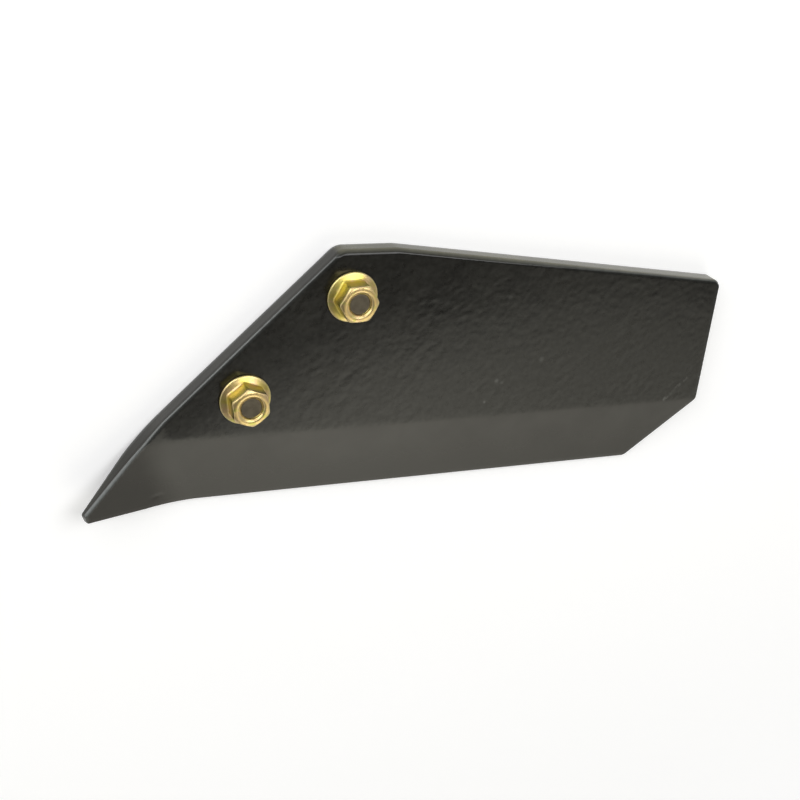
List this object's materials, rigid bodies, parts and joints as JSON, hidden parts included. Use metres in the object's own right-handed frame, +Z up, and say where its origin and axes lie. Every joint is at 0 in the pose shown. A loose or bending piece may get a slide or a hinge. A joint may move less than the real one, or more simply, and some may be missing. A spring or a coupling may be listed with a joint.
{
  "type": "cultivator sweep wing",
  "caption": "Flat steel wing of a cultivator sweep with a bevelled cutting edge, slanted inner end and upturned tip, held by countersunk plough bolts and flange nuts.",
  "frame": {"origin": "midway between the two bolts, on the flat underside that the wing lies on", "axes": "+X along the cutting edge towards the outer end, +Y away from the cutting edge, +Z up through the nuts"},
  "size_m": [0.3452, 0.1323, 0.022],
  "materials": {
    "black_paint": "semi-gloss black paint over rough hot-rolled steel",
    "dark_steel": "dark phosphated steel",
    "yellow_zinc": "yellow passivated zinc plating"
  },
  "bodies": {
    "root": {"wing_blade": "black_paint", "plough_bolts": "dark_steel", "flange_nuts": "yellow_zinc"}
  },
  "joints": []
}
